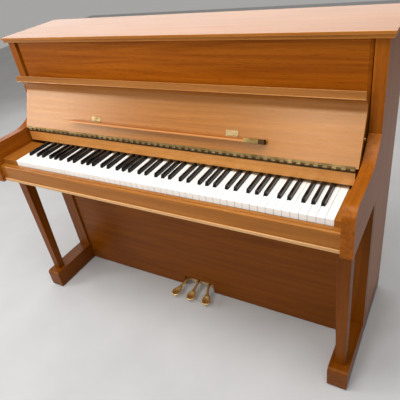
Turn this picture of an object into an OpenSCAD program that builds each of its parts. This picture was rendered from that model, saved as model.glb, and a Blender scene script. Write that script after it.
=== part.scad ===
// Upright piano: case, keyboard with a working middle octave, fall, lid, pedals and the inside
// Origin is the middle of the floor under the piano, Z up, the player sits at -Y. Sizes in mm.

/* [Case] */
// Width over the two sides
body_w = 1390; // [1370:5:1700]
// Depth from the arm fronts to the back posts
body_d = 565; // [540:5:700]
// Height to the top of the lid
body_h = 1098; // [1050:2:1350]
// Thickness of the sides, arms and posts
side_t = 34; // [26:1:42]
// Distance from the arm fronts to the upper panel
panel_back = 280; // [270:2:310]
// Thickness of the upper and lower panels
panel_t = 16; // [12:1:22]
// Gap between loose panels and their frame
panel_gap = 4; // [1:0.5:6]

/* [Lid] */
// Thickness of the upper step
lid_top_t = 8; // [5:0.5:12]
// Thickness of the lower step
lid_low_t = 10; // [6:0.5:14]
// Overhang of the lid past each side
lid_over = 14; // [6:1:20]
// Step back of the lower edge
lid_step = 3.5; // [1:0.5:6]
// Distance the lid stands in front of the posts
lid_front = 14.5; // [8:0.5:20]

/* [Keyboard] */
// Width of one natural key with its gap
pitch = 23.5; // [22.5:0.1:24]
// Gap between keys
key_gap = 1.1; // [0.8:0.1:1.4]
// Height of the playing surface over the floor
key_z = 695; // [670:1:760]
// Thickness of a key
key_t = 22; // [18:0.5:25]
// Length of a key
key_len = 354; // [330:1:370]
// Length of the natural in front of the sharps
head_len = 50; // [47:0.5:52]
// Height of the sharps over the naturals
sharp_h = 12; // [10:0.5:13]
// Width of a sharp at its foot
sharp_w = 11; // [9.5:0.5:12]
// Shift of the keyboard to the right of the case centre
key_shift = 24.5; // [0:0.5:30]
// Distance from the arm fronts to the key fronts
key_back = 40; // [36:1:50]
// Distance from the key fronts to the balance point
balance = 225; // [210:1:235]

/* [Fall] */
// Lean of the open fall from upright, degrees
fall_lean = 25.5; // [20:0.5:30]
// Thickness of the fall
fall_t = 15; // [12:0.5:18]
// Length of the flat part of the fall
fall_len = 148; // [140:1:160]
// Inner radius of the cove
cove_r = 34; // [28:1:40]
// Gap at each end of the fall
fall_gap = 3; // [1.5:0.5:5]
// Length of the music ledge
ledge_len = 780; // [600:10:900]
// Depth of the music ledge
ledge_d = 21.5; // [16:0.5:26]

/* [Stand] */
// Height of the toe blocks
toe_h = 85; // [60:1:100]
// Width of the toe blocks and stiles
toe_w = 65; // [50:1:75]
// Height of the floor glides
glide_h = 6; // [4:1:12]
// Height of the plinth joint
plinth_z = 59; // [52:1:70]
// Depth of a leg at the top
leg_top = 42; // [36:1:50]
// Depth of a leg at the foot
leg_foot = 31; // [26:1:38]

/* [Hidden] */
$fn = 48;
fy = -body_d / 2;
by = body_d / 2;
hw = body_w / 2;
iw = hw - side_t;
ky = fy + key_back;
py = fy + panel_back;
post_y = py - 6.5;
stile_y = post_y - 13;
plinth_y = py - 12;
stile_d = 34;
case_z = body_h - lid_top_t - lid_low_t;
bed_z0 = key_z - 86;
bed_z1 = key_z - 50;
slip_y = ky - 26;
slip_z0 = key_z - 74;
slip_z1 = key_z - 20;
arm_z = key_z + 64;
arm_r = 40;
rise_r = 145;
rise_y = ky + 110;
cap_z = key_z - 47;
kx0 = -26 * pitch + key_shift;
kx1 = 26 * pitch + key_shift;
key_z0 = key_z - key_t;
bal_y = ky + balance;
key_end = ky + key_len;
name_y = ky + 148.5;
name_z0 = key_z + sharp_h + 1;
name_z1 = key_z + 58;
fall_y = ky + 146;
fall_z = key_z + 62;
barrel_r = 3.2;
leaf_t = 1.5;
knuckle = 12.5;
fall_hw = iw - fall_gap;
name_hw = iw - 11;
u_ledge = 57;
hinge_x = 277;
frame_y = by - 82.5;
sound_y = frame_y - 8;
plate_y = sound_y - 32;
string_y = plate_y - 14;
act_y = plate_y - 90;
top_in = case_z - 2;
ped_y = py + 42.5;
ped_z = 45;
trap_y = ped_y + 130;
foot_x = 55;
tip_x = 76;
sharp_off = [-2.8, 2.8, 0, -3.6, 0, 3.6, 0];
has_sharp = [1, 1, 0, 1, 1, 1, 0];
mid = 23;
bracket_x = [-560, -190, 190, 560];

module box(x0, x1, y0, y1, z0, z1) {
  translate([x0, y0, z0]) cube([x1 - x0, y1 - y0, z1 - z0]);
}

module rect(x0, x1, y0, y1) {
  translate([x0, y0]) square([x1 - x0, y1 - y0]);
}

// outline drawn in depth and height, run across the width
module across(x0, x1) {
  translate([x0, 0, 0]) rotate([90, 0, 90]) linear_extrude(x1 - x0) children();
}

// outline drawn in width and height, run through the depth
module through(y0, y1) {
  translate([0, y1, 0]) rotate([90, 0, 0]) linear_extrude(y1 - y0) children();
}

module both() {
  children();
  mirror([1, 0, 0]) children();
}

// ---------------------------------------------------------------- case

module side_shape() {
  across(iw, hw) polygon([
    [post_y, bed_z0], [stile_y + stile_d, bed_z0], [stile_y + stile_d, toe_h],
    [by, toe_h], [by, case_z], [post_y, case_z]]);
}

module side_left() {
  color("sienna") mirror([1, 0, 0]) side_shape();
}

module side_right() {
  color("sienna") side_shape();
}

module stiles() {
  color("sienna") both() box(hw - toe_w, hw, stile_y, stile_y + stile_d, toe_h, bed_z0);
}

module arm_outline() {
  rise_top = arm_z + rise_r - sqrt(rise_r * rise_r - (post_y - rise_y) * (post_y - rise_y));
  rect(ky, post_y, cap_z, arm_z);
  rect(fy, ky + 1, cap_z, arm_z - arm_r);
  intersection() {
    translate([fy + arm_r, arm_z - arm_r]) circle(arm_r, $fn = 96);
    rect(fy, ky + 1, arm_z - arm_r - 1, arm_z);
  }
  difference() {
    rect(rise_y, post_y, arm_z - 1, rise_top);
    translate([rise_y, arm_z + rise_r]) circle(rise_r, $fn = 192);
  }
}

module arm_shape() {
  across(iw, hw) arm_outline();
  box(iw, hw, fy, post_y, bed_z0, cap_z);
}

module arm_left() {
  color("sienna") mirror([1, 0, 0]) arm_shape();
}

module arm_right() {
  color("sienna") arm_shape();
}

module toe_outline() {
  toe_r = 12;
  rect(ky - 5 + toe_r, by, glide_h, toe_h);
  rect(ky - 5, ky - 4 + toe_r, glide_h, toe_h - toe_r);
  translate([ky - 5 + toe_r, toe_h - toe_r]) circle(toe_r, $fn = 64);
}

module toe_blocks() {
  color("sienna") both() across(hw - toe_w, hw) toe_outline();
}

module legs() {
  leg_y = ky + 28;
  x_out = hw - 16;
  color("sienna") both() intersection() {
    across(hw - 90, hw) polygon([[leg_y, toe_h], [leg_y + leg_foot, toe_h],
      [leg_y + leg_top, bed_z0], [leg_y, bed_z0]]);
    through(leg_y - 1, leg_y + leg_top + 1) polygon([[x_out - leg_foot, toe_h],
      [x_out, toe_h], [x_out, bed_z0], [x_out - leg_top, bed_z0]]);
  }
}

module lower_panel() {
  color("saddlebrown")
    box(toe_w - hw, hw - toe_w, plinth_y, plinth_y + panel_t, plinth_z + 1, bed_z0);
}

module plinth() {
  color("saddlebrown") through(plinth_y, plinth_y + 18) difference() {
    rect(toe_w - hw, hw - toe_w, glide_h - 2, plinth_z);
    rect(-74, 74, glide_h - 3, plinth_z - 14);
    rect(-66, 66, glide_h - 3, plinth_z - 6);
    translate([-66, plinth_z - 14]) circle(8);
    translate([66, plinth_z - 14]) circle(8);
  }
}

module bottom_board() {
  color("burlywood") box(toe_w - hw, hw - toe_w, plinth_y + 18, frame_y, 12, 30);
}

module keybed() {
  color("burlywood") box(-iw, iw, slip_y + 22.5, act_y + 66, bed_z0, bed_z1);
}

module keybed_moulding() {
  color("sienna") across(-iw, iw) difference() {
    rect(slip_y - 3, slip_y + 22.5, bed_z0, slip_z0);
    rect(slip_y - 4, slip_y - 1, bed_z0 - 1, bed_z0 + 2);
  }
}

module key_slip() {
  slip_r = 5;
  color("sienna") across(-iw, iw) difference() {
    union() {
      rect(slip_y, slip_y + 22.5, slip_z0, slip_z1 - slip_r);
      rect(slip_y + slip_r, slip_y + 22.5, slip_z1 - slip_r - 1, slip_z1);
      translate([slip_y + slip_r, slip_z1 - slip_r]) circle(slip_r);
    }
    rect(slip_y + 9, slip_y + 12, slip_z1 - 4, slip_z1 + 1);
  }
}

module key_blocks() {
  color("sienna") {
    box(-iw, kx0 - 0.5, ky - 2, name_y, bed_z1, key_z);
    box(kx1 + 0.5, iw, ky - 2, name_y, bed_z1, key_z);
  }
}

module nameboard() {
  color("peru") box(-name_hw, name_hw, name_y, name_y + 15, name_z0, name_z1);
}

module fall_shelf() {
  color("sienna") box(-iw, iw, name_y + 15, py, key_z + 40, key_z + 52);
}

module upper_panel() {
  ux = iw - panel_gap;
  color("saddlebrown") intersection() {
    box(-ux, ux, py, py + panel_t, key_z + 40, case_z - 1);
    translate([0, 0, key_z]) linear_extrude(case_z - key_z) polygon([[-ux, py + 4],
      [10 - ux, py], [ux - 10, py], [ux, py + 4], [ux, py + panel_t], [-ux, py + panel_t]]);
  }
}

module glides() {
  color("dimgray") both() {
    for (y = [ky + 40, by - 40])
      translate([hw - toe_w / 2, y, 0]) cylinder(h = glide_h, r = 20);
  }
}

module stop_pins() {
  pin_r = 5;
  color("gold") both() translate([iw - 15, fall_y, fall_z]) rotate([-fall_lean, 0, 0])
    translate([0, fall_t + pin_r + 0.5, 85]) rotate([0, 90, 0]) cylinder(h = 15, r = pin_r);
}

// ---------------------------------------------------------------- lid

module lid() {
  lx = hw + lid_over;
  ly = post_y - lid_front;
  color("peru") {
    box(-lx, lx, ly, by - 14.5, case_z + lid_low_t, body_h);
    box(lid_step - lx, lx - lid_step, ly + lid_step, by - 14.5, case_z, case_z + lid_low_t);
  }
}

module lid_hinge_fixed() {
  color("gold") for (x = [-450, 0, 450]) {
    difference() {
      box(x - 30, x + 30, by - 10, by, case_z, case_z + 1.5);
      for (i = [1, 3])
        box(x - 30.4 + i * 12, x - 17.6 + i * 12, by - 12, by - 6, case_z - 1, case_z + 3);
    }
    for (i = [0, 2, 4])
      translate([x - 30 + i * 12 + 0.2, by - 10, case_z + 3.7]) rotate([0, 90, 0])
        cylinder(h = 11.6, r = 3);
  }
}

module lid_hinge_leaf() {
  color("gold") for (x = [-450, 0, 450]) {
    box(x - 30, x + 30, by - 14.5, by - 13.4, case_z + 7.5, body_h - 2);
    for (i = [1, 3]) {
      box(x - 29.8 + i * 12, x - 18.2 + i * 12, by - 14.5, by - 10, case_z + 4, case_z + 8);
      translate([x - 30 + i * 12 + 0.2, by - 10, case_z + 3.7]) rotate([0, 90, 0])
        cylinder(h = 11.6, r = 3);
    }
  }
}

// ---------------------------------------------------------------- fall and music ledge

// local frame of the fall: Y away from the player, Z up along the panel, origin on the hinge
module on_fall() {
  translate([0, fall_y, fall_z]) rotate([-fall_lean, 0, 0]) children();
}

module fall_outline() {
  rect(0, fall_t, 5, fall_len);
  intersection() {
    difference() {
      translate([-cove_r, fall_len]) circle(cove_r + fall_t, $fn = 128);
      translate([-cove_r, fall_len]) circle(cove_r, $fn = 128);
    }
    rect(-cove_r, fall_t, fall_len, fall_len + cove_r + fall_t);
  }
  polygon([[0.6 - cove_r, fall_len + cove_r], [-cove_r - 10, fall_len + cove_r],
    [-cove_r - 10, fall_len + cove_r + 2], [-cove_r - 19.5, fall_len + cove_r + 21],
    [0.6 - cove_r, fall_len + cove_r + fall_t]]);
}

module fall_board() {
  color("peru") on_fall() across(-fall_hw, fall_hw) fall_outline();
}

module fall_knuckles(from) {
  n = floor(2 * name_hw / knuckle);
  for (i = [from : 2 : n - 1])
    translate([knuckle * (i - n / 2) + 0.2, 0, 0]) children();
}

module fall_hinge_fixed() {
  color("gold") {
    box(-name_hw, name_hw, name_y - leaf_t, name_y, name_z1 - 4.5, fall_z - barrel_r - 0.5);
    translate([0, fall_y, fall_z]) fall_knuckles(0) {
      rotate([0, 90, 0]) cylinder(h = knuckle - 0.4, r = barrel_r, $fn = 24);
    }
    fall_knuckles(0)
      box(0, knuckle - 0.4, name_y - leaf_t, name_y - 0.2, fall_z - barrel_r - 1, fall_z);
  }
}

module fall_hinge_leaf() {
  color("gold") on_fall() {
    difference() {
      box(-name_hw, name_hw, -leaf_t, 0, barrel_r + 0.5, 10.5);
      fall_knuckles(0) box(0.5, knuckle - 0.9, -leaf_t - 1, -0.4, barrel_r, 8.5);
    }
    fall_knuckles(1) {
      rotate([0, 90, 0]) cylinder(h = knuckle - 0.4, r = barrel_r, $fn = 24);
    }
    fall_knuckles(1) box(0, knuckle - 0.4, -leaf_t, 0, 0, barrel_r + 1);
  }
}

module ledge_outline() {
  ledge_t = 12;
  difference() {
    rect(-ledge_d - 0.5, -0.5, u_ledge - 1 - ledge_t, u_ledge - 1);
    rect(-ledge_d - 1, -ledge_d + 1.5, u_ledge - ledge_t - 2, u_ledge - ledge_t + 1.5);
  }
}

module music_ledge() {
  color("peru") on_fall() across(-ledge_len / 2, ledge_len / 2) difference() {
    ledge_outline();
    rect(-6, 0, u_ledge - 3.6, u_ledge);
  }
}

module ledge_hinge_fixed() {
  color("gold") on_fall() for (x = [-hinge_x, hinge_x]) {
    box(x - 21, x + 21, -leaf_t, 0, u_ledge + 3, u_ledge + 18);
    for (i = [0, 2, 4]) {
      translate([x - 21 + i * 8.4 + 0.2, -3, u_ledge]) rotate([0, 90, 0])
        cylinder(h = 8, r = 2.3, $fn = 24);
      box(x - 20.8 + i * 8.4, x - 12.8 + i * 8.4, -leaf_t, 0, u_ledge, u_ledge + 4);
    }
    for (dx = [-13, 0, 13])
      translate([x + dx, -leaf_t, u_ledge + 11]) rotate([90, 0, 0])
        cylinder(h = 0.8, r = 3, $fn = 24);
  }
}

module ledge_hinge_leaf() {
  color("gold") on_fall() for (x = [-hinge_x, hinge_x])
    for (i = [1, 3]) {
      translate([x - 21 + i * 8.4 + 0.2, -3, u_ledge]) rotate([0, 90, 0])
        cylinder(h = 8, r = 2.3, $fn = 24);
      box(x - 20.8 + i * 8.4, x - 12.8 + i * 8.4, -6, -2.5, u_ledge - 3.6, u_ledge - 1.6);
    }
}

// ---------------------------------------------------------------- keys

function degree(n) = (n + 5) % 7;
function right_sharp(n) = n < 51 && has_sharp[degree(n)] == 1;
function left_sharp(n) = n > 0 && has_sharp[degree(n - 1)] == 1;
function sharp_x(n) = kx0 + (n + 1) * pitch + sharp_off[degree(n)];

module natural(n) {
  x0 = kx0 + n * pitch + key_gap / 2;
  x1 = kx0 + (n + 1) * pitch - key_gap / 2;
  ys = ky + head_len - 1.6;
  slot = sharp_w / 2 + 0.9;
  xl = sharp_x(n - 1) + slot;
  xr = sharp_x(n) - slot;
  plan = concat([[x0, ky - 1], [x1, ky - 1]],
    right_sharp(n) ? [[x1, ys], [xr, ys], [xr, key_end]] : [[x1, key_end]],
    left_sharp(n) ? [[xl, key_end], [xl, ys], [x0, ys]] : [[x0, key_end]]);
  intersection() {
    translate([0, 0, key_z0 - 1]) linear_extrude(key_t + 2) polygon(plan);
    across(x0 - 1, x1 + 1) polygon([[ky, key_z0], [key_end, key_z0], [key_end, key_z],
      [ky + 1.2, key_z], [ky, key_z - 1.2]]);
  }
}

module sharp(n) {
  x = sharp_x(n);
  y0 = ky + head_len;
  y1 = name_y + 5;
  half = sharp_w / 2;
  intersection() {
    through(y0 - 1, y1) polygon([[x - half, key_z0], [x + half, key_z0],
      [x + half, key_z], [x + half - 0.9, key_z + sharp_h - 1], [x + half - 1.9, key_z + sharp_h],
      [x - half + 1.9, key_z + sharp_h], [x - half + 0.9, key_z + sharp_h - 1],
      [x - half, key_z]]);
    across(x - half - 1, x + half + 1) polygon([[y0, key_z0], [y1 + 1, key_z0],
      [y1 + 1, key_z + sharp_h], [y0 + 5, key_z + sharp_h], [y0 + 3, key_z + sharp_h - 2],
      [y0, key_z]]);
  }
  box(x - half, x + half, y1, key_end, key_z0, key_z);
}

module natural_keys() {
  color("white") for (n = [0 : 51])
    if (n < mid || n > mid + 6) natural(n);
}

module sharp_keys() {
  color("black") for (n = [0 : 50])
    if ((n < mid || n > mid + 6) && right_sharp(n)) sharp(n);
}

module key_c() {
  color("white") natural(mid);
}

module key_c_sharp() {
  color("black") sharp(mid);
}

module key_d() {
  color("white") natural(mid + 1);
}

module key_d_sharp() {
  color("black") sharp(mid + 1);
}

module key_e() {
  color("white") natural(mid + 2);
}

module key_f() {
  color("white") natural(mid + 3);
}

module key_f_sharp() {
  color("black") sharp(mid + 3);
}

module key_g() {
  color("white") natural(mid + 4);
}

module key_g_sharp() {
  color("black") sharp(mid + 4);
}

module key_a() {
  color("white") natural(mid + 5);
}

module key_a_sharp() {
  color("black") sharp(mid + 5);
}

module key_b() {
  color("white") natural(mid + 6);
}

// rails under the keys; each key rocks on the round bead of the middle one
module key_frame() {
  rest_z = key_z0 - 0.4;
  bead_r = 3.6;
  bead_z = key_z0 - 4;
  color("burlywood") {
    box(kx0, kx1, ky + 18, ky + 44, bed_z1, key_z - 34);
    across(kx0, kx1) {
      polygon([[bal_y - 20, bed_z1], [bal_y + 20, bed_z1], [bal_y + 20, bed_z1 + 15],
        [bal_y + 3, bead_z], [bal_y - 3, bead_z], [bal_y - 20, bed_z1 + 15]]);
      translate([bal_y, bead_z]) circle(bead_r);
    }
    box(kx0, kx1, key_end - 26, key_end - 2, bed_z1, rest_z);
    for (i = [0 : 4]) {
      x = kx0 + 30 + i * (kx1 - kx0 - 60) / 4;
      box(x - 20, x + 20, ky + 44, bal_y - 20, bed_z1, bed_z1 + 12);
      box(x - 20, x + 20, bal_y + 20, key_end - 26, bed_z1, bed_z1 + 12);
    }
  }
}

// ---------------------------------------------------------------- pedals

module pedal(xh, xt) {
  tip = ky + 132.5;
  neck = 7.5;
  intersection() {
    translate([0, 0, 10]) linear_extrude(60) union() {
      rect(xh - neck, xh + neck, plinth_y - 6, ped_y + 35);
      polygon([[xh - neck, plinth_y - 6], [xh + neck, plinth_y - 6], [xt + 10, tip + 42],
        [xt + 18, tip + 27], [xt - 18, tip + 27], [xt - 10, tip + 42]]);
      translate([xt, tip + 19.5]) circle(19.5, $fn = 64);
    }
    across(xt - 60, xt + 60) polygon([[tip - 1, 20], [tip + 18, 22], [tip + 45, 27],
      [tip + 70, 35], [plinth_y, 39.5], [ped_y + 36, 40], [ped_y + 36, 51],
      [ped_y - 20, 51], [plinth_y - 4, 49], [tip + 70, 44], [tip + 45, 35.5],
      [tip + 18, 29.5], [tip - 1, 27.5]]);
  }
  translate([xh - 14, ped_y, ped_z]) rotate([0, 90, 0]) cylinder(h = 28, r = 4);
}

module pedal_dished(xh, xt) {
  difference() {
    pedal(xh, xt);
    translate([xt, ky + 152.5, 29.5 + 58]) sphere(60, $fn = 96);
  }
}

module pedal_left() {
  color("gold") pedal_dished(-foot_x, -tip_x);
}

module pedal_middle() {
  color("gold") pedal_dished(0, 0);
}

module pedal_right() {
  color("gold") pedal_dished(foot_x, tip_x);
}

module trap(x) {
  box(x - 9, x + 9, ped_y + 28, trap_y + 14, 51.5, 66);
  translate([x - 14, trap_y, 58]) rotate([0, 90, 0]) cylinder(h = 28, r = 4);
}

module trap_left() {
  color("burlywood") trap(-foot_x);
}

module trap_middle() {
  color("burlywood") trap(0);
}

module trap_right() {
  color("burlywood") trap(foot_x);
}

module ear(x, y, z) {
  difference() {
    box(x - 1.5, x + 1.5, y - 10, y + 10, 30, z + 9);
    translate([x - 3, y, z]) rotate([0, 90, 0]) cylinder(h = 6, r = 4.3);
  }
}

module pedal_brackets() {
  color("dimgray") {
    for (x = [-foot_x, 0, foot_x])
      for (s = [-11.5, 11.5])
        ear(x + s, ped_y, ped_z);
    for (x = [-foot_x, 0, foot_x])
      for (s = [-11.5, 11.5])
        ear(x + s, trap_y, 58);
  }
}

// ---------------------------------------------------------------- inside

module back_frame() {
  color("burlywood") {
    box(-iw, iw, frame_y, by, case_z - 110, case_z);
    box(-iw, iw, frame_y, by, toe_h + 5, toe_h + 95);
    for (x = [-iw + 40, -iw / 2 + 20, 0, iw / 2 - 20, iw - 40])
      box(x - 40, x + 40, frame_y, by, toe_h + 95, case_z - 110);
  }
}

module soundboard() {
  color("wheat") box(-iw + 20, iw - 20, sound_y, frame_y, toe_h + 25, case_z - 125);
}

// treble and bass bridge, made larger by a margin for the openings around them
module bridge_bars(margin) {
  w = 16 + margin;
  y0 = string_y + 4;
  translate([120, 0, 560]) rotate([0, -32, 0])
    box(-480 - margin, 480 + margin, y0, sound_y, -w, w);
  translate([-330, 0, 250]) rotate([0, 8, 0])
    box(-200 - margin, 200 + margin, y0, sound_y, -w, w);
}

module bridges() {
  color("tan") bridge_bars(0);
}

module iron_plate() {
  px = iw - 20;
  z0 = toe_h + 30;
  color("goldenrod") {
    difference() {
      box(-px, px, plate_y, plate_y + 12, z0, top_in - 4);
      difference() {
        box(-px + 50, px - 50, plate_y - 1, plate_y + 13, z0 + 60, case_z - 150);
        translate([-150, 0, 500]) rotate([0, 14, 0])
          box(-14, 14, plate_y - 2, plate_y + 14, -700, 700);
        translate([330, 0, 560]) box(-12, 12, plate_y - 2, plate_y + 14, -700, 700);
      }
      bridge_bars(3);
    }
    both() box(px - 30, px, plate_y + 12, sound_y, z0, case_z - 125);
  }
}

module pin_block() {
  color("tan") box(-iw + 20, iw - 20, plate_y + 12, frame_y, case_z - 120, top_in - 4);
}

module tuning_pins() {
  n = 73;
  color("steelblue") for (r = [0 : 2])
    for (i = [0 : n - 1])
      translate([(i - (n - 1) / 2) * 16.2 + r * 5, plate_y, case_z - 100 + r * 26 + (i % 2) * 9])
        rotate([90, 0, 0]) cylinder(h = 32, r = 3.5, $fn = 16);
}

module wire(x, y, x2, z2, r) {
  z1 = case_z - 125;
  run = sqrt((x2 - x) * (x2 - x) + (z1 - z2) * (z1 - z2));
  translate([x2, y, z2]) rotate([0, atan2(x - x2, z1 - z2), 0]) cylinder(h = run, r = r, $fn = 16);
}

module strings() {
  color("silver") {
    for (i = [0 : 25])
      wire(-585 + i * 13.6, string_y - 6, -330 + i * 15, 190 + i * 3, 1.6);
    for (i = [0 : 61])
      wire(-205 + i * 13.0, string_y, -560 + i * 17.6, 200 + i * 9.4, 0.8);
  }
}

function clear_of_brackets(x) = min([for (b = bracket_x) abs(x - b)]) > 9;

module action_frame() {
  az = key_z + 70;
  color("darkgoldenrod") {
    for (x = bracket_x)
      across(x - 4, x + 4) polygon([[act_y + 54, bed_z1], [act_y + 65, bed_z1],
        [act_y + 65, case_z - 150], [act_y + 54, case_z - 150], [act_y + 54, az + 24],
        [act_y + 4, az - 4], [act_y + 4, az - 24], [act_y + 54, az - 30]]);
    box(-600, 600, act_y - 2, act_y + 10, az - 24, az - 5);
    box(-600, 600, act_y + 46, act_y + 54, key_z + 124, key_z + 144);
  }
}

// one hammer, and its lever under it, for each key
module hammer_action() {
  color("ivory") for (i = [0 : 87])
    translate([-603 + i * 13.86, act_y - 10, key_z + 66]) {
      cylinder(h = 118, r = 2.6, $fn = 16);
      translate([-4.5, -10, 118]) cube([9, 46, 20]);
      translate([-4, -10, -47]) cube([8, 60, 14]);
      translate([-4, -8, -33]) cube([8, 16, 33]);
    }
}

module dampers() {
  color("ivory") for (i = [0 : 64]) {
    x = -597 + i * 13.86;
    if (clear_of_brackets(x))
      box(x - 4, x + 4, act_y + 54, string_y - 8, key_z + 120, key_z + 150);
  }
}

// ---------------------------------------------------------------- output
side_left();
side_right();
stiles();
arm_left();
arm_right();
toe_blocks();
legs();
lower_panel();
plinth();
bottom_board();
keybed();
keybed_moulding();
key_slip();
key_blocks();
nameboard();
fall_shelf();
upper_panel();
back_frame();
soundboard();
bridges();
iron_plate();
pin_block();
tuning_pins();
strings();
key_frame();
action_frame();
hammer_action();
dampers();
natural_keys();
sharp_keys();
stop_pins();
glides();
pedal_brackets();
lid_hinge_fixed();
fall_hinge_fixed();
lid();
lid_hinge_leaf();
fall_board();
fall_hinge_leaf();
ledge_hinge_fixed();
music_ledge();
ledge_hinge_leaf();
pedal_left();
pedal_middle();
pedal_right();
trap_left();
trap_middle();
trap_right();
key_c();
key_c_sharp();
key_d();
key_d_sharp();
key_e();
key_f();
key_f_sharp();
key_g();
key_g_sharp();
key_a();
key_a_sharp();
key_b();
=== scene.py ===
"""Looks of the upright piano: finishes of the carried parts, cast pedals, the ledge's end and the studio."""

import logging
import math
from dataclasses import dataclass, field
from enum import Enum

import bmesh
import bpy
from mathutils import Matrix, Vector


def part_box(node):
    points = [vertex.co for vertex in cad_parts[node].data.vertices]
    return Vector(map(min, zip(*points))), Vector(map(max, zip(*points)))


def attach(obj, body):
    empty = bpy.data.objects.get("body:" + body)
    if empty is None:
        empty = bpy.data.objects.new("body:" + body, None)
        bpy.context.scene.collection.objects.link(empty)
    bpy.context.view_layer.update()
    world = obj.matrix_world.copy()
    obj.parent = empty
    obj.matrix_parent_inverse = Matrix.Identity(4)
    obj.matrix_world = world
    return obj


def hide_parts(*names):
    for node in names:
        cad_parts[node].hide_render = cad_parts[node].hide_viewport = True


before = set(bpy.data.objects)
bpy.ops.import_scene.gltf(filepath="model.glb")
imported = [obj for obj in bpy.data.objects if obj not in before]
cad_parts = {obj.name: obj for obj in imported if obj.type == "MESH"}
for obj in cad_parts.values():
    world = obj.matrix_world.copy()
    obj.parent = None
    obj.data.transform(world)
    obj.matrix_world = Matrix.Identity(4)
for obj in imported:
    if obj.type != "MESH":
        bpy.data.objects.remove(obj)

LOG = logging.getLogger("piano")
Colour = tuple[float, float, float]
Socket = bpy.types.NodeSocket
# radius over which a highlight is painted along rounded arrises
EDGE_HIGHLIGHT_RADIUS = 0.0022
BLEND_HALF_WIDTH = 0.0005
RELIEF_HEIGHT = 0.0004


class Grain(Enum):
    """Direction in which the fibres of a board run."""

    WIDTH = (0.0, 0.0, 0.0)
    DEPTH = (0.0, 0.0, -math.pi / 2)
    HEIGHT = (0.0, math.pi / 2, 0.0)


def smooth(share: float) -> float:
    """Ease a share between 0 and 1, with a level start and a level end."""
    return share * share * (3 - 2 * share)


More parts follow.
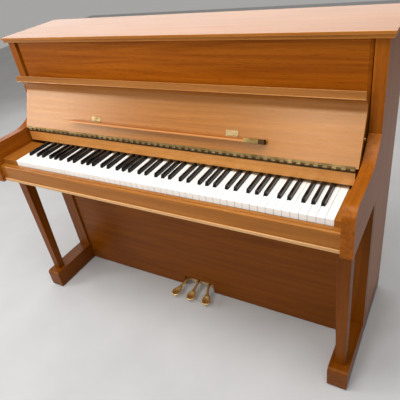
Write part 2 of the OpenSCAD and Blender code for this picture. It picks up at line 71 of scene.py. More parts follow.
class NodeTree:
    """A material's node tree with short helpers to add and join nodes."""

    def __init__(self, name: str) -> None:
        """Start an empty principled material.

        Args:
            name: name of the new material.
        """
        self.material = bpy.data.materials.new(name)
        self.material.use_nodes = True
        self.tree = self.material.node_tree
        self.shader = self.tree.nodes["Principled BSDF"]

    def add(self, kind: str, **settings: object) -> bpy.types.Node:
        """Add one node.

        Args:
            kind: node type without its ShaderNode prefix.
            settings: attributes of the node, or values of its inputs by name.

        Returns:
            The new node.
        """
        node = self.tree.nodes.new("ShaderNode" + kind)
        for key, value in settings.items():
            if hasattr(node, key):
                setattr(node, key, value)
            else:
                node.inputs[key.replace("_", " ")].default_value = value
        return node

    def join(self, source: Socket, target: Socket) -> None:
        """Link two sockets.

        Args:
            source: output socket.
            target: input socket.
        """
        self.tree.links.new(source, target)

    def coordinates(
        self, scale: Colour, turn: Colour = (0, 0, 0), shift: float = 0.0
    ) -> Socket:
        """Object coordinates, turned and stretched.

        Args:
            scale: stretch along the turned axes.
            turn: rotation that brings the grain onto the first axis.
            shift: offset that gives each board its own piece of the pattern.

        Returns:
            The vector socket.
        """
        place = self.add("TexCoord")
        spin = self.add("Mapping")
        spin.inputs["Rotation"].default_value = turn
        stretch = self.add("Mapping")
        stretch.inputs["Location"].default_value = (shift, shift * 0.73, shift * 1.31)
        stretch.inputs["Scale"].default_value = scale
        self.join(place.outputs["Object"], spin.inputs["Vector"])
        self.join(spin.outputs["Vector"], stretch.inputs["Vector"])
        return stretch.outputs["Vector"]

    def noise(self, vector: Socket, detail: float, rough: float = 0.55) -> Socket:
        """Noise of scale one on a stretched vector.

        Args:
            vector: where it is sampled.
            detail: octaves.
            rough: weight of the fine octaves.

        Returns:
            The value socket.
        """
        node = self.add("TexNoise", Scale=1.0, Detail=detail, Roughness=rough)
        self.join(vector, node.inputs["Vector"])
        return node.outputs["Fac"]

    def ramp(self, value: Socket, stops: list[tuple[float, Colour]]) -> Socket:
        """Colour ramp over a value.

        Args:
            value: socket that drives the ramp.
            stops: places and colours.

        Returns:
            The colour socket.
        """
        node = self.add("ValToRGB")
        ramp = node.color_ramp
        while len(ramp.elements) < len(stops):
            ramp.elements.new(0.5)
        for element, (place, colour) in zip(ramp.elements, stops):
            element.position = place
            element.color = (*colour, 1.0)
        self.join(value, node.inputs["Fac"])
        return node.outputs["Color"]

    def maths(self, operation: str, a: Socket | float, b: Socket | float) -> Socket:
        """Arithmetic on two sockets or numbers.

        Args:
            operation: name of the operation.
            a: first value.
            b: second value.

        Returns:
            The value socket.
        """
        node = self.add("Math", operation=operation)
        for slot, value in zip(node.inputs, (a, b)):
            if isinstance(value, (int, float)):
                slot.default_value = value
            else:
                self.join(value, slot)
        return node.outputs[0]

    def remap(
        self, value: Socket, low: float, high: float, to: tuple[float, float]
    ) -> Socket:
        """Map a value's range onto another.

        Args:
            value: socket to map.
            low: start of the range taken in.
            high: end of the range taken in.
            to: start and end given out.

        Returns:
            The mapped value.
        """
        node = self.add("MapRange")
        for name, number in (("From Min", low), ("From Max", high), ("To Min", to[0]), ("To Max", to[1])):
            node.inputs[name].default_value = number
        self.join(value, node.inputs["Value"])
        return node.outputs["Result"]

    def mix(self, amount: Socket | float, a: Socket | Colour, b: Socket | Colour) -> Socket:
        """Mix two colours.

        Args:
            amount: share of the second colour, a number or a socket.
            a: first colour.
            b: second colour.

        Returns:
            The colour socket.
        """
        node = self.add("Mix", data_type="RGBA")
        for slot, value in ((node.inputs[0], amount), (node.inputs[6], a), (node.inputs[7], b)):
            if isinstance(value, tuple):
                slot.default_value = (*value, 1.0)
            elif isinstance(value, (int, float)):
                slot.default_value = value
            else:
                self.join(value, slot)
        return node.outputs[2]

    def relief(self, height: Socket, strength: float, round_edge: float) -> None:
        """Bump on top of softly rounded edges, into the shader's normal.

        Args:
            height: height value.
            strength: strength of the bump.
            round_edge: radius of the worn edges in metres.
        """
        bump = self.add("Bump", Strength=strength, Distance=RELIEF_HEIGHT)
        self.join(height, bump.inputs["Height"])
        if round_edge > 0:
            edge = self.add("Bevel", samples=4)
            edge.inputs["Radius"].default_value = round_edge
            self.join(edge.outputs["Normal"], bump.inputs["Normal"])
        self.join(bump.outputs["Normal"], self.shader.inputs["Normal"])

    def beyond(self, direction: Colour, distance: float) -> Socket:
        """Mask of what lies past a plane, from 0 to 1 within a millimetre.

        Args:
            direction: normal of the plane.
            distance: distance of the plane from the origin.

        Returns:
            The value socket.
        """
        place = self.add("TexCoord")
        along = self.add("VectorMath", operation="DOT_PRODUCT")
        self.join(place.outputs["Object"], along.inputs[0])
        along.inputs[1].default_value = direction
        near, far = distance - BLEND_HALF_WIDTH, distance + BLEND_HALF_WIDTH
        return self.remap(along.outputs["Value"], near, far, (0.0, 1.0))

    def painted_edge_highlight(self, colour: Socket, pale: Colour, amount: float) -> Socket:
        """Lighten a colour along rounded arrises as a painted highlight.

        Args:
            colour: colour away from the edges.
            pale: colour of the painted highlight on the edges.
            amount: share of the pale colour on a sharp edge.

        Returns:
            The colour socket.
        """
        edge = self.add("Bevel", samples=4)
        edge.inputs["Radius"].default_value = EDGE_HIGHLIGHT_RADIUS
        flat = self.add("NewGeometry")
        bend = self.add("VectorMath", operation="DOT_PRODUCT")
        self.join(edge.outputs["Normal"], bend.inputs[0])
        self.join(flat.outputs["Normal"], bend.inputs[1])
        sharp, level = 0.78, 0.985
        return self.mix(self.remap(bend.outputs["Value"], sharp, level, (amount, 0.0)), colour, pale)

    def set(self, **values: object) -> None:
        """Set constant inputs of the principled shader.

        Args:
            values: value of each input, by its name with underscores.
        """
        for key, value in values.items():
            self.shader.inputs[key.replace("_", " ")].default_value = value


@dataclass(frozen=True)
class Wood:
    """Satin lacquered veneer with fibres, growth figure and open pores, a highlight painted along its rounded
    arrises and, where a band is given, a painted highlight strip past a plane.
    """

    name: str
    dark: Colour
    light: Colour
    grain: Grain
    shift: float = 0.0
    figure: float = 0.5
    across: float = 16.0
    rough: float = 0.34
    gloss: float = 0.2
    sheen_tint: Colour = (1.0, 0.74, 0.48)
    # share of a paler colour painted along the rounded arrises as a highlight
    wear_and_edge_highlight: float = 0.55
    edge: float = 0.0012
    # plane past which a highlight strip is painted, as its normal and distance
    highlight_band: tuple[float, float, float, float] | None = None

    def material(self) -> bpy.types.Material:
        """Build the material.

        Returns:
            The new material.
        """
        t = NodeTree(self.name)
        turn = self.grain.value
        sway = t.noise(t.coordinates((0.9, 5.0, 5.0), turn, self.shift), 2.0)
        rings = t.add("TexNoise", Scale=1.0, Detail=3.0, Roughness=0.5, Distortion=0.6)
        ring_place = t.coordinates((0.55, self.across, self.across), turn, self.shift + 3.1)
        t.join(ring_place, rings.inputs["Vector"])
        ring_count = 7.0
        swayed = t.maths("ADD", rings.outputs["Fac"], t.maths("MULTIPLY", sway, 0.4))
        bands = t.maths("FRACT", t.maths("MULTIPLY", swayed, ring_count), 0.0)
        soft = t.maths("PINGPONG", t.maths("MULTIPLY", bands, 2.0), 1.0)
        fibre = t.noise(t.coordinates((4.0, 260.0, 260.0), turn, self.shift), 5.0, 0.65)
        streak = t.noise(t.coordinates((1.2, 55.0, 55.0), turn, self.shift + 7.7), 3.0)
        pores = t.noise(t.coordinates((38.0, 800.0, 800.0), turn, self.shift), 2.0)
        body = t.maths("ADD", t.maths("MULTIPLY", soft, 0.30 * self.figure), t.maths("MULTIPLY", fibre, 0.55))
        body = t.maths("ADD", body, t.maths("MULTIPLY", streak, 0.45))
        body = t.remap(body, 0.38, 0.78 + 0.2 * self.figure, (0.0, 1.0))
        middle = tuple((a + b) / 2 for a, b in zip(self.dark, self.light))
        colour = t.ramp(body, [(0.05, self.dark), (0.5, middle), (0.95, self.light)])
        open_pore = t.remap(pores, 0.60, 0.70, (0.0, 0.55))
        pore_colour = tuple(c * 0.35 for c in self.dark)
        # painted highlight: a paler colour laid along the rounded arrises, where the edges catch the light
        pale = tuple(min(c * 1.8, 1.0) for c in self.light)
        colour = t.painted_edge_highlight(t.mix(open_pore, colour, pore_colour), pale, self.wear_and_edge_highlight)
        # painted highlight: a brighter strip past the plane, along the music ledge's lower front edge where
        # it catches the light
        if self.highlight_band:
            band_highlight_colour = (self.light[0] * 1.35, self.light[1] * 2.0, self.light[1] * 0.55)
            colour = t.mix(t.beyond(self.highlight_band[:3], self.highlight_band[3]), colour, band_highlight_colour)
        t.join(colour, t.shader.inputs["Base Color"])
        t.join(t.remap(fibre, 0.3, 0.7, (self.rough - 0.04, self.rough + 0.08)), t.shader.inputs["Roughness"])
        t.relief(t.maths("SUBTRACT", fibre, t.maths("MULTIPLY", open_pore, 1.2)), 0.10, self.edge)
        t.set(Specular_IOR_Level=self.gloss, Specular_Tint=(*self.sheen_tint, 1.0))
        return t.material


@dataclass(frozen=True)
class KeyStick:
    """Covered key: coloured plastic in front of the name board, bare spruce behind it."""

    name: str
    cover: Colour
    rough: float
    cover_end: float
    gloss: float = 0.5

    def material(self) -> bpy.types.Material:
        """Build the material.

        Returns:
            The new material.
        """
        t = NodeTree(self.name)
        place = t.add("TexCoord")
        parts = t.add("SeparateXYZ")
        t.join(place.outputs["Object"], parts.inputs["Vector"])
        behind = t.maths("GREATER_THAN", parts.outputs["Y"], self.cover_end)
        cloud = t.noise(t.coordinates((9.0, 9.0, 9.0)), 3.0)
        dull = tuple(c * 0.93 for c in self.cover)
        cover = t.mix(t.remap(cloud, 0.35, 0.65, (0.0, 1.0)), self.cover, dull)
        fibre = t.noise(t.coordinates((300.0, 5.0, 300.0)), 4.0)
        spruce = t.ramp(fibre, [(0.3, (0.42, 0.27, 0.13)), (0.7, (0.62, 0.44, 0.25))])
        t.join(t.mix(behind, cover, spruce), t.shader.inputs["Base Color"])
        smear = t.noise(t.coordinates((60.0, 25.0, 60.0)), 4.0)
        gloss = t.remap(smear, 0.3, 0.7, (self.rough, self.rough + 0.07))
        t.join(t.maths("ADD", gloss, t.maths("MULTIPLY", behind, 0.45)), t.shader.inputs["Roughness"])
        t.relief(smear, 0.02, 0.0009)
        t.set(Specular_IOR_Level=self.gloss)
        return t.material


@dataclass(frozen=True)
class Metal:
    """Bright, cast or painted metal with fine scratches and slight tarnish."""

    name: str
    bright: Colour
    dull: Colour
    rough: float
    metallic: float = 1.0
    scratch: float = 0.05
    edge: float = 0.0004

    def material(self) -> bpy.types.Material:
        """Build the material.

        Returns:
            The new material.
        """
        t = NodeTree(self.name)
        cloud = t.noise(t.coordinates((28.0, 28.0, 28.0)), 4.0)
        fine = t.noise(t.coordinates((90.0, 1500.0, 1500.0)), 2.0)
        t.join(t.ramp(cloud, [(0.35, self.bright), (0.7, self.dull)]), t.shader.inputs["Base Color"])
        clouded = t.remap(cloud, 0.3, 0.7, (self.rough, self.rough + 0.12))
        rough = t.maths("ADD", clouded, t.maths("MULTIPLY", fine, self.scratch))
        t.join(rough, t.shader.inputs["Roughness"])
        t.relief(fine, self.scratch, self.edge)
        t.set(Metallic=self.metallic)
        return t.material


@dataclass(frozen=True)
class Strings:
    """Copper winding in front of a depth, where the bass runs, and plain steel behind it."""

    name: str
    bass_end: float

    def material(self) -> bpy.types.Material:
        """Build the material.

        Returns:
            The new material.
        """
        t = NodeTree(self.name)
        place = t.add("TexCoord")
        parts = t.add("SeparateXYZ")
        t.join(place.outputs["Object"], parts.inputs["Vector"])
        bass = t.maths("LESS_THAN", parts.outputs["Y"], self.bass_end)
        turns = 260.0
        wound = t.add("TexWave", Scale=turns, bands_direction="Z")
        t.join(place.outputs["Object"], wound.inputs["Vector"])
        copper = t.ramp(wound.outputs["Fac"], [(0.2, (0.30, 0.10, 0.04)), (0.8, (0.72, 0.34, 0.18))])
        t.join(t.mix(bass, (0.62, 0.62, 0.62), copper), t.shader.inputs["Base Color"])
        t.join(t.remap(wound.outputs["Fac"], 0.0, 1.0, (0.22, 0.34)), t.shader.inputs["Roughness"])
        t.relief(t.maths("MULTIPLY", wound.outputs["Fac"], bass), 0.2, 0.0)
        t.set(Metallic=1.0)
        return t.material


@dataclass(frozen=True)
class Felt:
    """Pressed wool over maple: felt above a height, bare wood below it."""

    name: str
    wool: Colour
    wood: Colour
    wool_from: float

    def material(self) -> bpy.types.Material:
        """Build the material.

        Returns:
            The new material.
        """
        t = NodeTree(self.name)
        place = t.add("TexCoord")
        parts = t.add("SeparateXYZ")
        t.join(place.outputs["Object"], parts.inputs["Vector"])
        high = t.maths("GREATER_THAN", parts.outputs["Z"], self.wool_from)
        fuzz = t.noise(t.coordinates((900.0, 900.0, 900.0)), 4.0)
        dull = tuple(c * 0.8 for c in self.wool)
        wool = t.mix(fuzz, self.wool, dull)
        fibre = t.noise(t.coordinates((300.0, 300.0, 8.0)), 3.0)
        wood = t.mix(fibre, self.wood, tuple(c * 0.7 for c in self.wood))
        t.join(t.mix(high, wood, wool), t.shader.inputs["Base Color"])
        t.join(t.remap(high, 0.0, 1.0, (0.5, 0.95)), t.shader.inputs["Roughness"])
        t.relief(fuzz, 0.4, 0.0008)
        return t.material


@dataclass(frozen=True)
class Rubber:
    """Dull moulded rubber with a fine speckle."""

    name: str
    colour: Colour

    def material(self) -> bpy.types.Material:
        """Build the material.

        Returns:
            The new material.
        """
        t = NodeTree(self.name)
        speck = t.noise(t.coordinates((700.0, 700.0, 700.0)), 3.0)
        wear_and_edge_highlight = tuple(c * 1.9 for c in self.colour)
        t.join(t.ramp(speck, [(0.35, self.colour), (0.7, wear_and_edge_highlight)]), t.shader.inputs["Base Color"])
        t.join(t.remap(speck, 0.3, 0.7, (0.6, 0.8)), t.shader.inputs["Roughness"])
        t.relief(speck, 0.2, 0.0006)
        return t.material


Finish = Wood | KeyStick | Metal | Strings | Felt | Rubber


@dataclass
class CarriedParts:
    """Every CAD part that is shown as it is, with its own finish."""

    case_dark: Colour = (0.190, 0.043, 0.002)
    case_light: Colour = (0.370, 0.108, 0.006)
    panel_dark: Colour = (0.205, 0.045, 0.001)
    panel_light: Colour = (0.365, 0.100, 0.004)
    # painted shade: the case wood darkened for the lower panel, plinth, stiles, legs and toe blocks, which
    # lie in the keybed's shadow
    low_shaded_dark: Colour = (0.128, 0.030, 0.001)
    low_shaded_light: Colour = (0.205, 0.055, 0.001)
    pale_dark: Colour = (0.250, 0.080, 0.009)
    pale_light: Colour = (0.390, 0.140, 0.020)
    # painted light: the case wood brightened for the name board, to stand in for light its lighting does not
    # give it
    board_lit_dark: Colour = (0.500, 0.185, 0.035)
    board_lit_light: Colour = (0.700, 0.310, 0.080)
    # painted highlight: pale wood for the keybed moulding, whose rounded front edge catches the light
    moulding_highlight_dark: Colour = (0.520, 0.270, 0.110)
    moulding_highlight_light: Colour = (0.720, 0.430, 0.210)
    raw_dark: Colour = (0.36, 0.22, 0.11)
    raw_light: Colour = (0.62, 0.44, 0.25)
    # plane along the music ledge's lower front edge, past which a highlight strip is painted
    ledge_highlight_band: tuple[float, float, float, float] = (0.0, -0.9426, -0.3338, -0.1822)
    brass: Metal = Metal("hinge_brass", (0.46, 0.32, 0.12), (0.26, 0.17, 0.06), 0.34)
    dull_brass: Metal = Metal("hinge_brass_dull", (0.24, 0.16, 0.065), (0.12, 0.078, 0.03), 0.42)
    dark_brass: Metal = Metal("hinge_brass_dark", (0.085, 0.052, 0.022), (0.045, 0.027, 0.012), 0.45)
    pale_brass: Metal = Metal("hinge_brass_pale", (0.46, 0.33, 0.16), (0.26, 0.17, 0.075), 0.36)
    cover_end: float = -0.0925
    sharp_setback: float = 0.003
    veneer_step: float = 2.7
    timber_step: float = 1.9
    timber_start: float = 40

    def veneers(self) -> dict[str, Wood]:
        """Finish of each veneered part.

        Returns:
            Wood by node name.
        """
        case = (self.case_dark, self.case_light)
        panel = (self.panel_dark, self.panel_light)
        # darkened wood as painted shade for the parts under the keybed
        low = (self.low_shaded_dark, self.low_shaded_light)
        pale = (self.pale_dark, self.pale_light)
        # brightened wood as painted light on the name board
        board = (self.board_lit_dark, self.board_lit_light)
        # pale wood as a painted highlight on the keybed moulding
        bright = (self.moulding_highlight_dark, self.moulding_highlight_light)
        boards = {
            "side_left": (*case, Grain.HEIGHT), "side_right": (*case, Grain.HEIGHT),
            "stiles": (*low, Grain.HEIGHT), "legs": (*low, Grain.HEIGHT),
            "arm_left": (*case, Grain.DEPTH), "arm_right": (*case, Grain.DEPTH),
            "toe_blocks": (*low, Grain.DEPTH), "keybed_moulding": (*bright, Grain.WIDTH),
            "key_slip": (*pale, Grain.WIDTH), "key_blocks": (*pale, Grain.DEPTH),
            "fall_shelf": (*case, Grain.WIDTH), "lower_panel": (*low, Grain.WIDTH),
            "plinth": (*low, Grain.WIDTH), "upper_panel": (*panel, Grain.WIDTH),
            "lid": (*pale, Grain.WIDTH), "nameboard": (*board, Grain.WIDTH),
            "fall_board": (*pale, Grain.WIDTH), "music_ledge": (*panel, Grain.WIDTH),
        }
        figured = {"lower_panel": 0.8, "upper_panel": 0.6, "fall_board": 0.4, "lid": 0.3}
        # share of the highlight painted along these boards' arrises; the other veneers get 0.55
        edge_highlight_share = {"music_ledge": 1.0, "key_slip": 0.9, "lid": 0.9}
        glossy = {"fall_board": 0.9, "nameboard": 0.8, "lid": 0.5, "music_ledge": 0.5, "key_slip": 0.4}
        return {
            node: Wood(
                "veneer_" + node, dark, light, grain,
                shift=self.veneer_step * place, figure=figured.get(node, 0.5), gloss=glossy.get(node, 0.2),
                wear_and_edge_highlight=edge_highlight_share.get(node, 0.55), highlight_band=self.ledge_highlight_band if node == "music_ledge" else None,
            )
            for place, (node, (dark, light, grain)) in enumerate(boards.items())
        }

    def bare_boards(self) -> dict[str, Wood]:
        """Finish of each unlacquered timber part.

        Returns:
            Wood by node name.
        """
        grain = {
            "bottom_board": Grain.WIDTH, "keybed": Grain.WIDTH, "back_frame": Grain.HEIGHT,
            "key_frame": Grain.WIDTH, "soundboard": Grain.WIDTH, "bridges": Grain.WIDTH,
            "pin_block": Grain.WIDTH, "trap_left": Grain.DEPTH, "trap_middle": Grain.DEPTH,
            "trap_right": Grain.DEPTH,
        }
        return {
            node: Wood(
                "timber_" + node, self.raw_dark, self.raw_light, way,
                shift=self.timber_step * place + self.timber_start, rough=0.6, wear_and_edge_highlight=0.0,
            )
            for place, (node, way) in enumerate(grain.items())
        }

    def other_finishes(self) -> dict[str, Finish]:
        """Finish of the keys, metal, felt and rubber.

        Returns:
            Finish by node name.
        """
        white = KeyStick("key_white", (0.86, 0.85, 0.81), rough=0.12, cover_end=self.cover_end)
        black = KeyStick(
            "key_black", (0.003, 0.003, 0.003),
            rough=0.12, cover_end=self.cover_end + self.sharp_setback, gloss=0.3,
        )
        maple = (0.55, 0.38, 0.20)
        found: dict[str, Finish] = {
            "iron_plate": Metal(
                "plate_bronze", (0.50, 0.34, 0.12), (0.36, 0.24, 0.08),
                rough=0.4, metallic=0.7, scratch=0.1, edge=0.002,
            ),
            "tuning_pins": Metal("pin_steel", (0.20, 0.22, 0.28), (0.12, 0.12, 0.15), 0.3),
            "action_frame": Metal("action_brass", (0.46, 0.33, 0.13), (0.30, 0.20, 0.08), 0.4),
            "strings": Strings("string_wire", bass_end=0.147),
            "hammer_action": Felt("hammer_felt", (0.78, 0.76, 0.68), maple, wool_from=0.878),
            "dampers": Felt("damper_felt", (0.75, 0.73, 0.66), maple, wool_from=0.80),
            "pedal_brackets": Metal(
                "bracket_steel", (0.10, 0.10, 0.11), (0.06, 0.06, 0.06), rough=0.4, metallic=0.6
            ),
            "glides": Rubber("glide_rubber", (0.02, 0.02, 0.02)),
            "natural_keys": white,
            "sharp_keys": black,
        }
        for letter in "cdefgab":
            found["key_" + letter] = white
        for letter in "cdfga":
            found[f"key_{letter}_sharp"] = black
        for node in ("stop_pins", "lid_hinge_fixed", "lid_hinge_leaf"):
            found[node] = self.brass
        for node in ("ledge_hinge_fixed", "ledge_hinge_leaf"):
            found[node] = self.pale_brass
        found["fall_hinge_fixed"] = self.dark_brass
        found["fall_hinge_leaf"] = self.dull_brass
        return found

    def dress(self) -> None:
        """Give every carried node its material."""
        made: dict[str, bpy.types.Material] = {}
        finishes: dict[str, Finish] = {**self.veneers(), **self.bare_boards(), **self.other_finishes()}
        for node, finish in finishes.items():
            if finish.name not in made:
                made[finish.name] = finish.material()
            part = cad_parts[node]
            part.data.materials.clear()
            part.data.materials.append(made[finish.name])
            LOG.info("finish %s on %s", finish.name, node)


@dataclass
class Pedal:
    """One cast brass pedal: a dished toe, a waisted neck and a straight tail to its pivot."""

    body: str
    heel_x: float
    toe_x: float
    toe_y: float = -0.110
    plinth_y: float = -0.0145
    tail_y: float = 0.075
    toe_half: float = 0.0195
    neck_half: float = 0.0065
    thick: float = 0.0075
    tip_half: float = 0.0012
    toe_ratio: float = 2.15
    waist_length: float = 0.034
    tail_z: float = 0.0445
    toe_drop: float = 0.020
    drop_length: float = 0.105
    dish_depth: float = 0.0022
    dish_behind_toe: float = 0.021
    dish_half: float = 0.019
    dish_share: float = 0.86
    roundness: float = 0.75
    pin_y: float = 0.040
    pin_z: float = 0.045
    pin_radius: float = 0.004
    pin_length: float = 0.028
    rings: int = 44
    ring_points: int = 20

    def centre(self, y: float) -> tuple[float, float]:
        """Sideways place and height of the pedal's middle at a depth.

        Args:
            y: depth in metres.

        Returns:
            Place across and height, in metres.
        """
        splay = min(max((self.plinth_y - 0.004 - y) / (self.plinth_y - self.toe_y - 0.02), 0.0), 1.0)
        x = self.heel_x + (self.toe_x - self.heel_x) * (0.35 * splay + 0.65 * smooth(splay))
        fall = min(max((self.plinth_y + 0.006 - y) / self.drop_length, 0.0), 1.0)
        return x, self.tail_z - self.toe_drop * smooth(fall)

    def half_width(self, y: float) -> float:
        """Half of the pedal's width at a depth.

        Args:
            y: depth in metres.

        Returns:
            Half width in metres.
        """
        ahead = y - self.toe_y
        half_oval = self.toe_ratio * self.toe_half * 0.5
        if ahead < half_oval:
            return self.toe_half * math.sqrt(max(1 - ((half_oval - ahead) / half_oval) ** 2, 0.0))
        blend = min((ahead - half_oval) / self.waist_length, 1.0)
        return self.toe_half + (self.neck_half - self.toe_half) * smooth(blend)

    def ring(self, bm: bmesh.types.BMesh, index: int) -> list[bmesh.types.BMVert]:
        """Add the vertices of one cross-section, dished on its upper side near the toe.

        Args:
            bm: mesh that takes the vertices.
            index: number of the section, counted from the toe.

        Returns:
            The vertices in order round the section.
        """
        length = self.tail_y - self.toe_y
        y = self.toe_y + length * ((index / self.rings) ** 1.7)
        x, z = self.centre(y)
        half = max(self.half_width(y), self.tip_half)
        dish = self.dish_depth * max(0.0, 1 - ((y - self.toe_y - self.dish_behind_toe) / self.dish_half) ** 2)
        thick = self.thick * min(1.0, 0.45 + half / self.toe_half * 0.9) * (1.0 if index else 0.5)
        found = []
        for k in range(self.ring_points):
            turn = 2 * math.pi * k / self.ring_points
            c, s = math.cos(turn), math.sin(turn)
            across = half * math.copysign(abs(c) ** self.roundness, c)
            up = 0.5 * thick * math.copysign(abs(s) ** self.roundness, s)
            if s > 0:
                up -= dish * max(0.0, 1 - (across / (half * self.dish_share)) ** 2)
            found.append(bm.verts.new((x + across, y, z + up)))
        return found

    def build(self) -> bpy.types.Object:
        """Loft the pedal from its toe to its tail.

        Returns:
            The mesh object, in place.
        """
        mesh = bpy.data.meshes.new(self.body)
        bm = bmesh.new()
        loops = [self.ring(bm, index) for index in range(self.rings + 1)]
        for a, b in zip(loops, loops[1:]):
            for k in range(self.ring_points):
                n = (k + 1) % self.ring_points
                bm.faces.new((a[k], b[k], b[n], a[n]))
        bm.faces.new(loops[0])
        bm.faces.new(list(reversed(loops[-1])))
        self.add_pin(bm)
        bmesh.ops.recalc_face_normals(bm, faces=bm.faces)
        bm.to_mesh(mesh)
        bm.free()
        for face in mesh.polygons:
            face.use_smooth = True
        made = bpy.data.objects.new(self.body + "_casting", mesh)
        bpy.context.scene.collection.objects.link(made)
        return made

    def add_pin(self, bm: bmesh.types.BMesh) -> None:
        """Add the pivot pin across the tail.

        Args:
            bm: mesh that takes the pin.
        """
        middle = Matrix.Translation((self.heel_x, self.pin_y, self.pin_z))
        bmesh.ops.create_cone(
            bm, cap_ends=True, segments=24, radius1=self.pin_radius, radius2=self.pin_radius,
            depth=self.pin_length, matrix=middle @ Matrix.Rotation(math.pi / 2, 4, "Y"),
        )

    def dress(self, material: bpy.types.Material) -> None:
        """Build the pedal, finish it and let it ride on its body.

        Args:
            material: polished brass.
        """
        made = self.build()
        made.data.materials.append(material)
        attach(made, self.body)
        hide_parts(self.body)
        LOG.info("pedal %s", made.name)


@dataclass
class LedgeEnd:
    """Folded brass sleeve and dark end cap round the right end of the music ledge."""

    sleeve_length: float = 0.048
    cap_length: float = 0.017
    wall: float = 0.0009
    clearance: float = 0.0002
    seam: float = 0.0004
    corner_steps: int = 4
    lean: float = math.radians(25.5)
    hinge_y: float = -0.0965
    hinge_z: float = 0.757
    front: float = 0.0220
    back: float = 0.0062
    low: float = 0.044
    high: float = 0.056

    def place(self, x: float, out: float, up: float) -> Vector:
        """Point given by its distances off and along the leaning fall.

        Args:
            x: place across.
            out: distance from the fall towards the player.
            up: distance along the fall from its hinge.

        Returns:
            The point.
        """
        c, s = math.cos(self.lean), math.sin(self.lean)
        return Vector((x, self.hinge_y + up * s - out * c, self.hinge_z + up * c + out * s))

    def outline(self, gap: float) -> list[tuple[float, float]]:
        """Section round the ledge with rounded front corners.

        Args:
            gap: distance kept from the wood.

        Returns:
            Points as distance out and distance up.
        """
        points = [(self.back, self.high + gap)]
        for up, start in ((self.high, 0), (self.low, 1)):
            for step in range(self.corner_steps + 1):
                turn = math.pi / 2 * (step / self.corner_steps + start)
                points.append((self.front + gap * math.sin(turn), up + gap * math.cos(turn)))
        points.append((self.back, self.low - gap))
        return points

    def shell(self, name: str, left: float, right: float, closed: bool) -> bpy.types.Object:
        """Fold one shell of a real thickness.

        Args:
            name: name of the piece.
            left: left end.
            right: right end.
            closed: whether the right end is shut.

        Returns:
            The mesh object, in place.
        """
        mesh = bpy.data.meshes.new(name)
        bm = bmesh.new()
        loops = []
        for gap, order in ((self.wall, (left, right)), (self.clearance, (right, left))):
            for x in order:
                loops.append([bm.verts.new(self.place(x, *p)) for p in self.outline(gap)])
        count = len(loops[0])
        for a, b in zip(loops, loops[1:] + loops[:1]):
            for k in range(count - 1):
                bm.faces.new((a[k], b[k], b[k + 1], a[k + 1]))
        for k in (0, count - 1):
            bm.faces.new([loop[k] for loop in loops])
        if closed:
            rim = self.outline(self.wall)
            ends = [[bm.verts.new(self.place(x, *p)) for p in rim] for x in (right, right + self.wall)]
            for ring in ends:
                bm.faces.new(ring)
            for k in range(count):
                n = (k + 1) % count
                bm.faces.new((ends[0][k], ends[1][k], ends[1][n], ends[0][n]))
        bmesh.ops.recalc_face_normals(bm, faces=bm.faces)
        bm.to_mesh(mesh)
        bm.free()
        made = bpy.data.objects.new(name, mesh)
        bpy.context.scene.collection.objects.link(made)
        return made

    def dress(self, sleeve: Metal, cap: Metal) -> None:
        """Build both pieces, finish them and let them ride on the ledge.

        Args:
            sleeve: brass of the sleeve.
            cap: darker brass of the cap.
        """
        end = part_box("music_ledge")[1].x + self.clearance
        middle = end - self.cap_length
        for name, left, right, finish, closed in (
            ("ledge_sleeve", middle - self.sleeve_length, middle - self.seam, sleeve, False),
            ("ledge_cap", middle, end, cap, True),
        ):
            made = self.shell(name, left, right, closed)
            made.data.materials.append(finish.material())
            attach(made, "ledge")
            LOG.info("ledge end %s", made.name)


@dataclass(frozen=True)
class Softbox:
    """Rectangular soft light."""

    name: str
    at: Colour
    aim: Colour
    size: tuple[float, float]
    watts: float

    def hang(self) -> None:
        """Place the light and turn it to the point it faces."""
        data = bpy.data.lights.new(self.name, "AREA")
        data.shape = "RECTANGLE"
        data.size, data.size_y = self.size
        data.energy = self.watts
        lamp = bpy.data.objects.new(self.name, data)
        lamp.location = self.at
        lamp.rotation_euler = (Vector(self.aim) - Vector(self.at)).to_track_quat("-Z", "Y").to_euler()
        lamp.visible_camera = False
        bpy.context.scene.collection.objects.link(lamp)


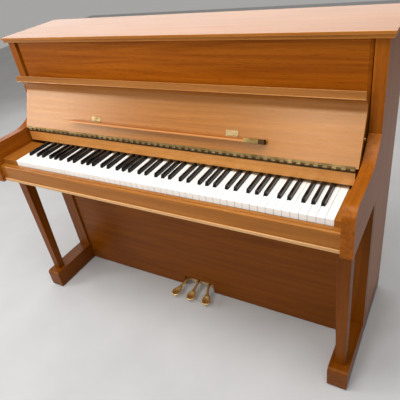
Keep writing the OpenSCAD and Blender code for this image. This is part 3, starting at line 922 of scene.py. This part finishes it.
@dataclass
class Studio:
    """Floor, lights and the camera."""

    eye: Vector = field(default_factory=lambda: Vector((0.8554, -1.1359, 1.3782)))
    right: Vector = field(default_factory=lambda: Vector((0.8629, 0.4853, -0.1413)))
    up: Vector = field(default_factory=lambda: Vector((-0.1661, 0.5363, 0.8275)))
    lens: float = 38.84
    sensor: float = 36.0
    floor_half: float = 6.0
    sky: Colour = (1.0, 0.98, 0.95)
    sky_power: float = 0.38

    def build_floor(self) -> None:
        """Lay a pale floor with a faint mottle."""
        mesh = bpy.data.meshes.new("studio_floor")
        bm = bmesh.new()
        bmesh.ops.create_grid(bm, x_segments=8, y_segments=8, size=self.floor_half)
        bm.to_mesh(mesh)
        bm.free()
        floor = bpy.data.objects.new("studio_floor", mesh)
        bpy.context.scene.collection.objects.link(floor)
        t = NodeTree("studio_floor_paint")
        cloud = t.noise(t.coordinates((3.0, 3.0, 3.0)), 3.0)
        paint = t.ramp(cloud, [(0.3, (0.49, 0.49, 0.49)), (0.7, (0.54, 0.54, 0.54))])
        t.join(paint, t.shader.inputs["Base Color"])
        t.set(Roughness=0.85)
        floor.data.materials.append(t.material)

    def build_lights(self) -> None:
        """Light the room from its air, the ceiling, the front left, the front and behind."""
        world = bpy.data.worlds.new("studio_air")
        world.use_nodes = True
        back = world.node_tree.nodes["Background"]
        back.inputs["Color"].default_value = (*self.sky, 1.0)
        back.inputs["Strength"].default_value = self.sky_power
        bpy.context.scene.world = world
        bpy.context.scene.view_settings.view_transform = "Standard"
        for light in (
            Softbox(
                "ceiling_light", at=(0.2, -0.7, 2.7), aim=(0.0, 0.0, 0.6), size=(2.4, 1.2), watts=58.0
            ),
            Softbox(
                "left_window", at=(-2.45, -1.53, 1.55), aim=(-0.5, 0.0, 0.8), size=(0.7, 1.1), watts=26.0
            ),
            Softbox(
                "front_window", at=(-0.1, -2.5, 1.95), aim=(0.3, 0.0, 0.8), size=(0.7, 0.9), watts=22.0
            ),
            Softbox(
                "back_wall", at=(-1.4, 2.5, 1.75), aim=(0.0, 0.0, 1.1), size=(4.5, 1.4), watts=45.0
            ),
        ):
            light.hang()

    def build_camera(self) -> None:
        """Place the camera."""
        data = bpy.data.cameras.new("studio_camera")
        data.lens = self.lens
        data.sensor_width = self.sensor
        data.sensor_fit = "HORIZONTAL"
        camera = bpy.data.objects.new("studio_camera", data)
        right, up = self.right.normalized(), self.up.normalized()
        back = right.cross(up).normalized()
        up = back.cross(right)
        turn = Matrix((right, up, back)).transposed().to_4x4()
        camera.matrix_world = Matrix.Translation(self.eye) @ turn
        bpy.context.scene.collection.objects.link(camera)
        bpy.context.scene.camera = camera


def main() -> None:
    """Build the piano's finishes and pieces, then the studio."""
    logging.basicConfig(level=logging.INFO, format="%(message)s")
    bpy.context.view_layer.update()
    CarriedParts().dress()
    polished = Metal("pedal_brass", (0.95, 0.70, 0.28), (0.78, 0.52, 0.17), 0.24, edge=0.0).material()
    heel_x, toe_x = 0.055, 0.076
    for body, side in (("pedal_left", -1), ("pedal_middle", 0), ("pedal_right", 1)):
        Pedal(body, side * heel_x, side * toe_x).dress(polished)
    olive = Metal("sleeve_brass", (0.30, 0.20, 0.07), (0.15, 0.095, 0.03), 0.36)
    LedgeEnd().dress(olive, Metal("cap_brass", (0.07, 0.042, 0.018), (0.035, 0.02, 0.01), 0.45))
    studio = Studio()
    studio.build_floor()
    studio.build_lights()
    studio.build_camera()


if __name__ == "__main__":
    main()
